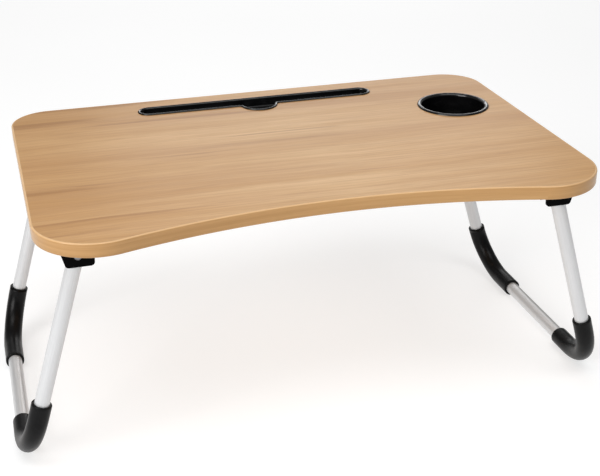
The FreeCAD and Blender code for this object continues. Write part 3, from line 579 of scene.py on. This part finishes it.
def add_tray_floor(mesh):
    """Close the trough above and below, round a cable hole with a low lip."""
    bm = bmesh.new()
    bm.from_mesh(mesh)
    mid = (TRAY_FRONT + TRAY_REAR) / 2
    floor = TOP - TRAY_DEPTH
    under = TOP - TRAY_UNDER
    lip = [[bm.verts.new(point)
            for point in circle(CABLE_X, mid, CABLE_RADIUS + extra, height, CABLE_STEPS)]
           for extra, height in ((0.0005, floor), (0.0004, floor + 0.0003),
                                 (0.0001, floor + 0.0003), (0.0, floor), (0.0, under))]
    for upper, lower in zip(lip, lip[1:]):
        for i in range(CABLE_STEPS):
            bm.faces.new((upper[i - 1], upper[i], lower[i], lower[i - 1])).smooth = True
    for height in (floor, under):
        rims = [edge for edge in bm.edges if edge.is_boundary
                and all(abs(vert.co.z - height) < 1e-6 for vert in edge.verts)]
        bmesh.ops.triangle_fill(bm, edges=rims, use_beauty=True)
    bmesh.ops.recalc_face_normals(bm, faces=bm.faces)
    bm.to_mesh(mesh)
    bm.free()


# ---------------------------------------------------------------- legs
def leg_frame(side):
    """Bar centre, direction up, outward normal and length from bar to pin of one open leg."""
    name = "left_leg_fold" if side < 0 else "right_leg_fold"
    joint = next(item for item in frame["joints"] if item["name"] == name)
    pin = Vector(joint["pos_m"])
    up = Vector((-side * math.sin(TILT), 0, math.cos(TILT)))
    out = Vector((side * math.cos(TILT), 0, math.sin(TILT)))
    length = (pin.z - SLEEVE_RADIUS) / math.cos(TILT)
    return pin - up * length, up, out, length


def path_points(side, flat):
    """Places and directions along a leg, from (y, height above the bar, dy, dheight)."""
    bar, up, out, _ = leg_frame(side)
    track = []
    for y, height, dy, dh in flat:
        spot = Vector((bar.x, 0, bar.z)) + up * height + Vector((0, y, 0))
        heading = (up * dh + Vector((0, dy, 0))).normalized()
        track.append((spot, heading, out))
    return track


def hoop(place, radius, steps, shift=0.0):
    """Ring of points square to a path, moved along it from one of its places."""
    spot, heading, out = place
    middle = spot + heading * shift
    across = heading.cross(out)
    return [middle + out * (radius * math.cos(2 * math.pi * i / steps))
            + across * (radius * math.sin(2 * math.pi * i / steps)) for i in range(steps)]


def bend_points(corner, inwards, steps=26):
    """Quarter bend from an upright down into the bar."""
    places = []
    for step in range(steps + 1):
        turn = math.pi / 2 * step / steps
        places.append((corner + inwards * BEND * (1 - math.cos(turn)),
                       BEND * (1 - math.sin(turn)),
                       inwards * math.sin(turn), -math.cos(turn)))
    return places


def build_tube(side_name, side):
    """Hollow tube: down the front upright, along the floor and up the rear upright."""
    *_, length = leg_frame(side)
    top = length - TUBE_TOP_DROP
    front = UPRIGHT["front"]
    rear = UPRIGHT["rear"]
    flat = [(front, BEND + (top - BEND) * i / 24, 0, -1) for i in range(24, 0, -1)]
    flat += bend_points(front, 1)
    start_y = front + BEND
    end_y = rear - BEND
    flat += [(start_y + (end_y - start_y) * i / 20, 0, 1, 0) for i in range(1, 20)]
    flat += [(y, h, -dy, -dh) for y, h, dy, dh in reversed(bend_points(rear, -1))]
    flat += [(rear, BEND + (top - BEND) * i / 24, 0, 1) for i in range(1, 25)]
    track = path_points(side, flat)
    outer = [hoop(place, TUBE_RADIUS, TUBE_STEPS) for place in track]
    bore = [hoop(place, TUBE_BORE, TUBE_STEPS) for place in track]
    cut = ((0.0, TUBE_BORE + 0.0002), (0.0, TUBE_RADIUS - 0.0003), (0.0003, TUBE_RADIUS))
    begin = [hoop(track[0], radius, TUBE_STEPS, depth) for depth, radius in cut]
    finish = [hoop(track[-1], radius, TUBE_STEPS, -depth) for depth, radius in reversed(cut)]
    tube = skin("tube_" + side_name, begin + outer[1:-1] + finish + bore[::-1], TUBE,
                closed_along=True)
    stands_for(tube, side_name + "_leg", "tube_aluminium", "leg_tube_" + side_name)


def rubber_ring(place):
    """Outer ring of a sleeve, pulled in unevenly by broad and narrow waves."""
    ring = []
    for point in hoop(place, SLEEVE_RADIUS, SLEEVE_STEPS):
        broad = noise.noise(point * 42.0)
        narrow = noise.noise(point * 110.0)
        pull = SLEEVE_PULL * (1 + (broad * 0.6 + narrow * 0.4))
        ring.append(point + (place[0] - point).normalized() * pull)
    return ring


def build_sleeve(side_name, side, end_name, end):
    """Rubber sleeve from an upright, round the bend and along the floor bar."""
    corner = UPRIGHT[end_name]
    inwards = -end
    top = SLEEVE_UP[end_name]
    lead = max(1, round((top - BEND) / 0.003))
    flat = [(corner, top - (top - BEND) * i / lead, 0, -1) for i in range(lead)]
    flat += bend_points(corner, inwards)
    tail = SLEEVE_ALONG[end_name] - BEND
    flat += [(corner + inwards * (BEND + tail * i / 12), 0, inwards, 0) for i in range(1, 13)]
    track = path_points(side, flat)
    outer = [rubber_ring(place) for place in track]
    bore = [hoop(place, SLEEVE_BORE, SLEEVE_STEPS) for place in track]
    cut = ((0.0, SLEEVE_BORE + 0.0002), (0.0, SLEEVE_RADIUS - SLEEVE_ROUND - 0.0002),
           (0.0002, SLEEVE_RADIUS - 0.0004), (SLEEVE_ROUND, SLEEVE_RADIUS - 0.00018))
    begin = [hoop(track[0], radius, SLEEVE_STEPS, depth) for depth, radius in cut]
    finish = [hoop(track[-1], radius, SLEEVE_STEPS, -depth) for depth, radius in reversed(cut)]
    name = "%s_%s" % (side_name, end_name)
    sleeve = skin("sleeve_" + name, begin + outer[1:-1] + finish + bore[::-1], SLEEVE,
                  closed_along=True)
    stands_for(sleeve, side_name + "_leg", "sleeve_rubber", "foot_sleeve_" + name)


build_band()
build_cup()
build_tray()
finish_cad("board_top_laminate", WOOD)
finish_cad("board_bottom_laminate", WOOD)
finish_cad("board_core", CORE)
for side_name, side in SIDES:
    build_tube(side_name, side)
    for end_name, end in ENDS:
        corner_name = "%s_%s" % (side_name, end_name)
        build_sleeve(side_name, side, end_name, end)
        finish_cad("hinge_bracket_" + corner_name, HINGE, BRACKET_EDGE)
        finish_cad("leg_knuckle_" + corner_name, HINGE, KNUCKLE_EDGE)
        finish_cad("hinge_pin_" + corner_name, PIN)
        finish_cad("bracket_screws_" + corner_name, SCREW)
        finish_cad("knuckle_screw_" + corner_name, SCREW)


# ---------------------------------------------------------------- floor, lights, camera
def look_along(azimuth, elevation, roll):
    """Rotation of a camera that stands at an azimuth and elevation from what it looks at."""
    a, e, r = (math.radians(angle) for angle in (azimuth, elevation, roll))
    back = Vector((math.sin(a) * math.cos(e), -math.cos(a) * math.cos(e), math.sin(e)))
    right = Vector((0, 0, 1)).cross(back).normalized()
    up = back.cross(right)
    tilted_right = right * math.cos(r) + up * math.sin(r)
    tilted_up = up * math.cos(r) - right * math.sin(r)
    return Matrix((tilted_right, tilted_up, back)).transposed()


def build_camera():
    data = bpy.data.cameras.new("camera")
    data.sensor_width = 36.0
    data.lens = CAMERA_LENS
    data.clip_start = 0.05
    data.clip_end = 60
    camera = bpy.data.objects.new("camera", data)
    turn = look_along(CAMERA_AZIMUTH, CAMERA_ELEVATION, CAMERA_ROLL)
    camera.matrix_world = Matrix.Translation(CAMERA_PLACE) @ turn.to_4x4()
    bpy.context.scene.collection.objects.link(camera)
    bpy.context.scene.camera = camera


def add_softbox(name, place, target, size, power):
    """White rectangular lamp of a size in metres and a power in watts, aimed at a point."""
    data = bpy.data.lights.new(name, "AREA")
    data.shape = "RECTANGLE"
    data.size, data.size_y = size
    data.energy = power
    lamp = bpy.data.objects.new(name, data)
    lamp.location = place
    lamp.rotation_euler = (Vector(target) - Vector(place)).to_track_quat("-Z", "Y").to_euler()
    bpy.context.scene.collection.objects.link(lamp)


def build_stage():
    mesh = bpy.data.meshes.new("floor")
    bm = bmesh.new()
    bmesh.ops.create_grid(bm, x_segments=8, y_segments=8, size=14)
    bm.to_mesh(mesh)
    bm.free()
    floor = bpy.data.objects.new("floor", mesh)
    mesh.materials.append(floor_paint())
    bpy.context.scene.collection.objects.link(floor)
    world = bpy.data.worlds.new("studio")
    world.use_nodes = True
    sky = world.node_tree.nodes["Background"].inputs
    sky["Color"].default_value = (1, 1, 1, 1)
    sky["Strength"].default_value = 0.26
    bpy.context.scene.world = world
    bpy.context.scene.view_settings.view_transform = "Standard"
    add_softbox("overhead", (-0.2, -0.7, 2.2), (0, 0, 0.2), (2.8, 1.0), 32.5)
    add_softbox("key", (-2.2, -1.6, 1.3), (0, 0, 0.2), (1.6, 1.0), 50)
    add_softbox("rear", (1.0, 3.0, 1.3), (0, 0, 0.25), (1.8, 0.36), 8.0)
    add_softbox("backdrop", (0.6, 3.8, 2.6), (0.6, 3.9, 0), (4.0, 2.0), 30)


build_camera()
build_stage()
